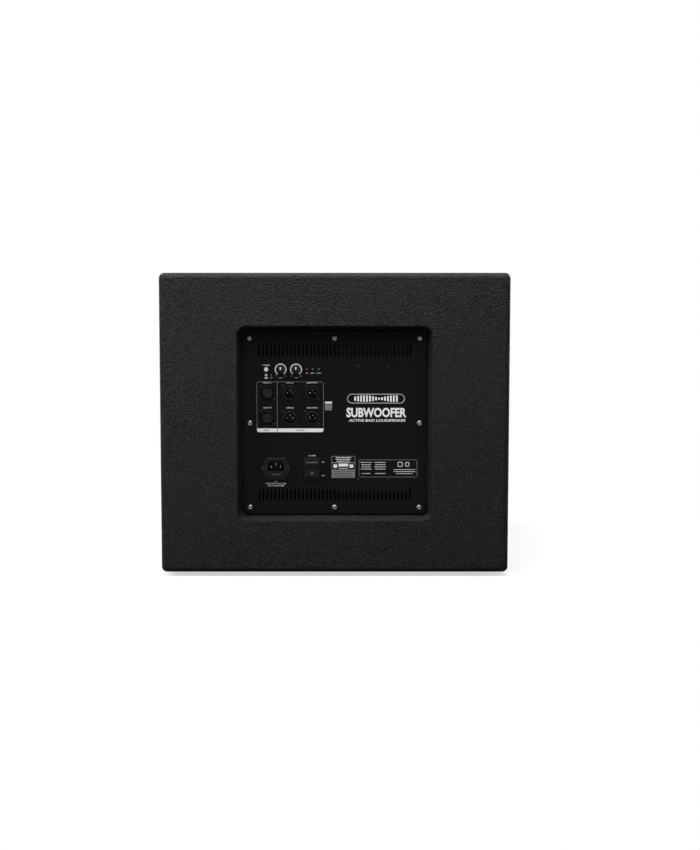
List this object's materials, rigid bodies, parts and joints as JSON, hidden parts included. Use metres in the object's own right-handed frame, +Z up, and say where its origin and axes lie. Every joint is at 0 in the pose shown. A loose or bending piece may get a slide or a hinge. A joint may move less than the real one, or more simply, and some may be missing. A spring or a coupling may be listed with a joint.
{
  "type": "powered subwoofer",
  "caption": "Wooden bass loudspeaker cabinet with a recessed amplifier panel, grille, reflex ports, side handles and a pole socket.",
  "frame": {"origin": "middle of the footprint, on the plane of the feet's undersides", "axes": "+Z up; +Y towards the grille, so the amplifier panel faces -Y; +X to the right of somebody facing the amplifier panel"},
  "size_m": [0.5252, 0.58, 0.4536],
  "materials": {
    "cabinet_paint": "black structured paint on plywood",
    "baffle_paint": "plain black paint on plywood",
    "raw_board": "bare plywood",
    "grille_paint": "satin black powder coat on perforated steel",
    "foam": "open-cell acoustic foam",
    "foam_seal": "closed-cell sealing strip",
    "black_plastic": "moulded black plastic",
    "black_screws": "blackened steel",
    "black_steel": "powder-coated steel",
    "rubber": "matt black rubber",
    "basket_metal": "black coated cast alloy",
    "spider_cloth": "resin-treated corrugated cloth",
    "cone_paper": "treated black paper pulp",
    "copper": "enamelled copper winding on its former",
    "motor_steel": "zinc-plated steel",
    "ferrite": "ferrite ceramic",
    "lead_insulation": "insulated stranded lead",
    "panel_paint": "satin black painted steel with white printing",
    "nickel_screws": "nickel-plated steel",
    "enclosure_steel": "zinc-plated sheet steel",
    "heatsink_alloy": "plain extruded alloy",
    "circuit_board": "green board with soldered parts",
    "transformer_winding": "wound steel core wrapped in film",
    "white_plastic": "white moulded plastic",
    "red_lens": "tinted lamp lens",
    "green_lens": "tinted lamp lens",
    "blue_lens": "tinted lamp lens",
    "silver_contacts": "plated contact metal"
  },
  "bodies": {
    "cabinet": {"cabinet_top_board": "cabinet_paint", "cabinet_bottom_board": "cabinet_paint", "cabinet_left_side": "cabinet_paint", "cabinet_right_side": "cabinet_paint", "cabinet_back_board": "cabinet_paint", "amp_mounting_frame": "cabinet_paint", "front_baffle": "baffle_paint", "internal_brace": "raw_board", "grille": "grille_paint", "grille_foam": "foam", "grille_spacers": "black_plastic", "grille_screws": "black_screws", "port_tube_1": "black_plastic", "port_tube_2": "black_plastic", "port_tube_3": "black_plastic", "port_tube_4": "black_plastic", "pole_socket": "black_steel", "left_handle": "black_plastic", "right_handle": "black_plastic", "cabinet_screws": "black_screws", "rubber_foot_1": "rubber", "rubber_foot_2": "rubber", "rubber_foot_3": "rubber", "rubber_foot_4": "rubber", "woofer_basket": "basket_metal", "woofer_gasket": "foam_seal", "woofer_bolts": "black_screws", "woofer_surround": "rubber", "woofer_spider": "spider_cloth", "motor_top_plate": "motor_steel", "motor_magnet": "ferrite", "motor_yoke": "motor_steel", "speaker_leads": "lead_insulation", "amp_panel": "panel_paint", "amp_gasket": "foam_seal", "amp_panel_screws": "nickel_screws", "panel_small_screws": "black_screws", "amp_enclosure": "enclosure_steel", "heatsink": "heatsink_alloy", "main_board": "circuit_board", "mains_transformer": "transformer_winding", "clip_led": "red_lens", "signal_led": "green_lens", "power_led": "blue_lens", "input_board": "circuit_board", "xlr_inputs": "black_plastic", "xlr_outputs": "black_plastic", "xlr_contacts": "silver_contacts", "mains_inlet": "black_plastic", "inlet_blades": "silver_contacts", "power_switch_housing": "black_plastic"},
    "level_knob": {"level_knob": "black_plastic"},
    "crossover_knob": {"crossover_knob": "black_plastic"},
    "phase_button": {"phase_button": "white_plastic"},
    "power_rocker": {"power_rocker": "black_plastic"},
    "fuse_drawer": {"fuse_drawer": "black_plastic", "fuse": "silver_contacts"},
    "woofer_moving_parts": {"woofer_cone": "cone_paper", "dust_cap": "cone_paper", "voice_coil": "copper"}
  },
  "joints": [
    {"name": "level_knob_turn", "type": "hinge", "parent": "cabinet", "child": "level_knob", "pos_m": [-0.0797, -0.275, 0.3064], "axis": [0, -1, 0], "range_deg": [-150, 150]},
    {"name": "crossover_knob_turn", "type": "hinge", "parent": "cabinet", "child": "crossover_knob", "pos_m": [-0.057, -0.275, 0.3064], "axis": [0, -1, 0], "range_deg": [-150, 150]},
    {"name": "phase_button_press", "type": "slide", "parent": "cabinet", "child": "phase_button", "axis": [0, 1, 0], "range_m": [0, 0.0025], "stiffness_N_per_m": 400, "springref_m": -0.001},
    {"name": "power_rocker_tilt", "type": "hinge", "parent": "cabinet", "child": "power_rocker", "pos_m": [-0.0338, -0.272, 0.1589], "axis": [-1, 0, 0], "range_deg": [0, 20]},
    {"name": "fuse_drawer_slide", "type": "slide", "parent": "cabinet", "child": "fuse_drawer", "axis": [0, -1, 0], "range_m": [0, 0.018]},
    {"name": "woofer_cone_travel", "type": "slide", "parent": "cabinet", "child": "woofer_moving_parts", "axis": [0, 1, 0], "range_m": [-0.008, 0.008], "stiffness_N_per_m": 6000, "deforming": ["woofer_surround", "woofer_spider"]}
  ]
}
